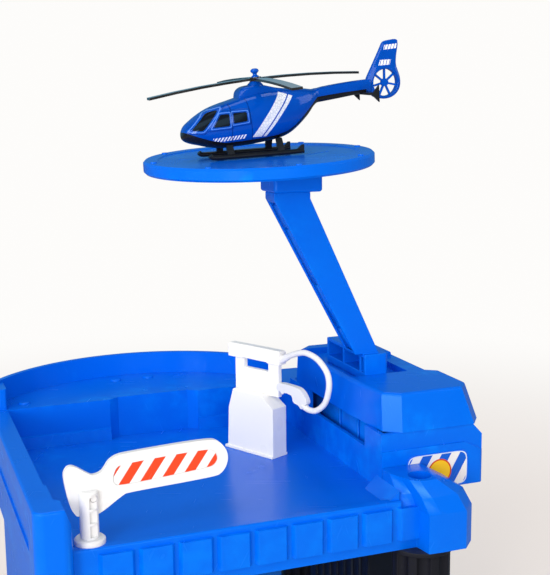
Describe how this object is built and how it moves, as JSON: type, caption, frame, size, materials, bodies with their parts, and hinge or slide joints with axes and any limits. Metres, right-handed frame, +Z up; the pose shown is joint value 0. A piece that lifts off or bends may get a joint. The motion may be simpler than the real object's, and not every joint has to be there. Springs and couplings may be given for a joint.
{
  "type": "toy parking garage with lift",
  "caption": "Toy parking garage storey with a crank-driven car lift in a tower, a leaning helipad with a helicopter, a road barrier and a fuel pump.",
  "frame": {"origin": "bottom centre of the base tray, on the surface the garage stands on", "axes": "+X to the right along the entrance side, +Y to the rear, +Z up"},
  "size_m": [0.2663, 0.2485, 0.3712],
  "materials": {
    "blue_plastic": "gloss",
    "black_plastic": "satin",
    "white_plastic": "gloss",
    "printed_label": "satin",
    "dark_window": "gloss"
  },
  "bodies": {
    "garage": {"base_tray": "blue_plastic", "side_wall": "blue_plastic", "pillar_front_right": "black_plastic", "pillar_front_left": "black_plastic", "pillar_rear_left": "black_plastic", "pillar_rear_right": "black_plastic", "deck_tray": "blue_plastic", "rear_terrace": "blue_plastic", "corner_socket": "blue_plastic", "tower_body": "blue_plastic", "tower_cap": "blue_plastic", "tower_stripe_label": "printed_label", "lift_shaft": "black_plastic", "gear_rack": "white_plastic", "helipad_arm": "blue_plastic", "pad_collar": "blue_plastic", "helipad_disc": "blue_plastic", "barrier_post": "white_plastic", "barrier_pin": "white_plastic"},
    "lift": {"lift_platform": "black_plastic"},
    "lift_crank": {"lift_pinion": "white_plastic", "lift_knob": "blue_plastic"},
    "barrier": {"barrier_arm": "white_plastic", "barrier_stripe_label": "printed_label"},
    "pump": {"pump_body": "white_plastic", "pump_hose": "white_plastic"},
    "helicopter": {"heli_shell": "blue_plastic", "heli_belly": "black_plastic", "heli_windows": "dark_window", "heli_skids": "black_plastic", "heli_tail_fan": "blue_plastic", "heli_stabiliser": "black_plastic", "heli_mast": "black_plastic"},
    "rotor": {"rotor_blades": "black_plastic", "rotor_cap": "blue_plastic"}
  },
  "joints": [
    {"name": "lift_slide", "type": "slide", "parent": "garage", "child": "lift", "axis": [0, 0, 1], "range_m": [0, 0.142]},
    {"name": "lift_turn", "type": "hinge", "parent": "lift", "child": "lift_crank", "pos_m": [0.128, -0.0095, 0.012], "axis": [-1, 0, 0], "range_deg": [0, 969.6]},
    {"name": "barrier_hinge", "type": "hinge", "parent": "garage", "child": "barrier", "pos_m": [-0.0975, -0.101, 0.1496], "axis": [0, -1, 0], "range_deg": [0, 75]},
    {"name": "pump_lift_off", "type": "slide", "parent": "garage", "child": "pump", "axis": [0, 0, 1], "range_m": [0, 0.035]},
    {"name": "helicopter_lift_off", "type": "slide", "parent": "garage", "child": "helicopter", "axis": [-0.0523, -0.0505, 0.9974], "range_m": [0, 0.06]},
    {"name": "rotor_spin", "type": "hinge", "parent": "helicopter", "child": "rotor", "pos_m": [0.01409, -0.03039, 0.34749], "axis": [-0.1167, -0.0502, 0.9919], "continuous": true}
  ],
  "couplings": [
    {"joint": "lift_turn", "follows": "lift_slide", "rad_per_m": 119.05}
  ]
}
